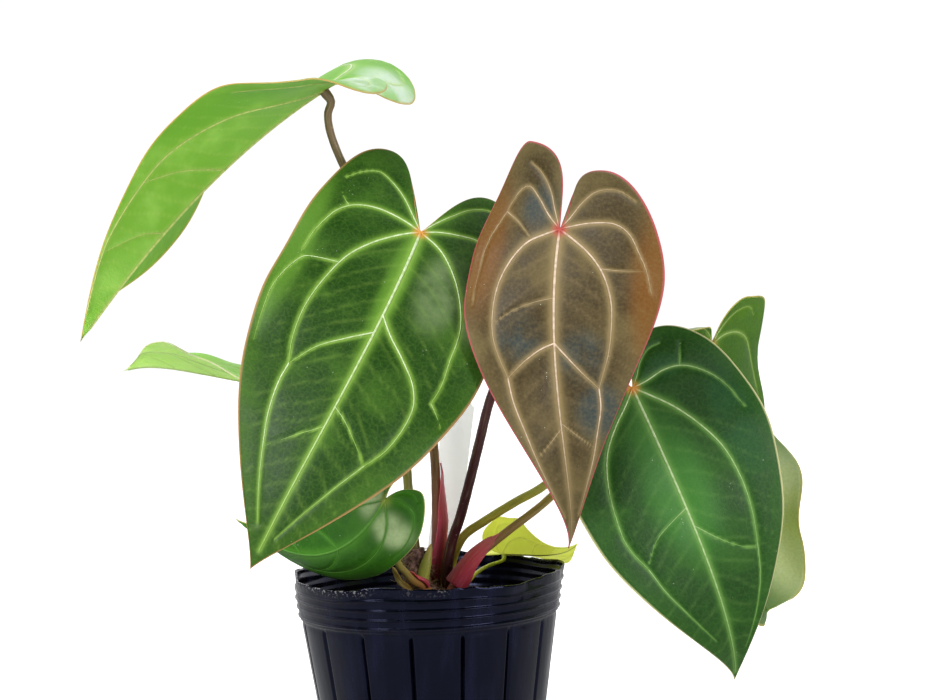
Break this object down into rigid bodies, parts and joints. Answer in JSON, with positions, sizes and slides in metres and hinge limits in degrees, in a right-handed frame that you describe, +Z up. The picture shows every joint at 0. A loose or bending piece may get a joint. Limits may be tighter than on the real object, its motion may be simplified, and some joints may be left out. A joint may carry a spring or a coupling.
{
  "type": "potted anthurium hybrid",
  "caption": "Potted aroid with velvety heart-shaped, pale-veined leaves on slim stalks, standing in a thin black nursery pot.",
  "frame": {"origin": "middle of the underside of the pot, on the surface that it stands on", "axes": "+Z up; the plant's front, with its largest leaf faces, looks along -Y; +X to the viewer's right"},
  "size_m": [0.2725, 0.1562, 0.2909],
  "materials": {
    "pot_plastic": "thin black polyethylene, glossy and dusty",
    "potting_mix": "loose bark, coir and perlite",
    "crown": "rough stem with dry fibres",
    "leaf_dark": "velvety deep green blade with pale veins",
    "leaf_bronze": "velvety bronze young blade with cream veins",
    "leaf_green": "satin mid-green blade",
    "leaf_light": "light green translucent blade",
    "leaf_young": "soft yellow-lime young blade",
    "stalk": "smooth olive stalk",
    "stalk_red": "smooth dark maroon stalk",
    "stalk_pale": "pale yellow stalk",
    "sheath": "thin pink-red sheath",
    "tag_plastic": "blank white plastic tag"
  },
  "bodies": {
    "root": {"pot": "pot_plastic", "potting_mix": "potting_mix", "crown": "crown", "leaf_top_left": "leaf_light", "leaf_front_left": "leaf_dark", "leaf_front_right": "leaf_bronze", "leaf_right": "leaf_dark", "leaf_back_right": "leaf_dark", "leaf_low_left": "leaf_green", "leaf_back_left": "leaf_light", "leaf_young": "leaf_young", "stalk_top_left": "stalk", "stalk_front_left": "stalk", "stalk_front_right": "stalk_red", "stalk_right": "stalk", "stalk_back_right": "stalk", "stalk_low_left": "stalk", "stalk_back_left": "stalk", "stalk_young": "stalk_pale", "sheath_top_left": "sheath", "sheath_back_right": "sheath", "sheath_low_left": "sheath", "bud": "stalk", "bract": "stalk_pale", "plant_tag": "tag_plastic"}
  },
  "joints": []
}
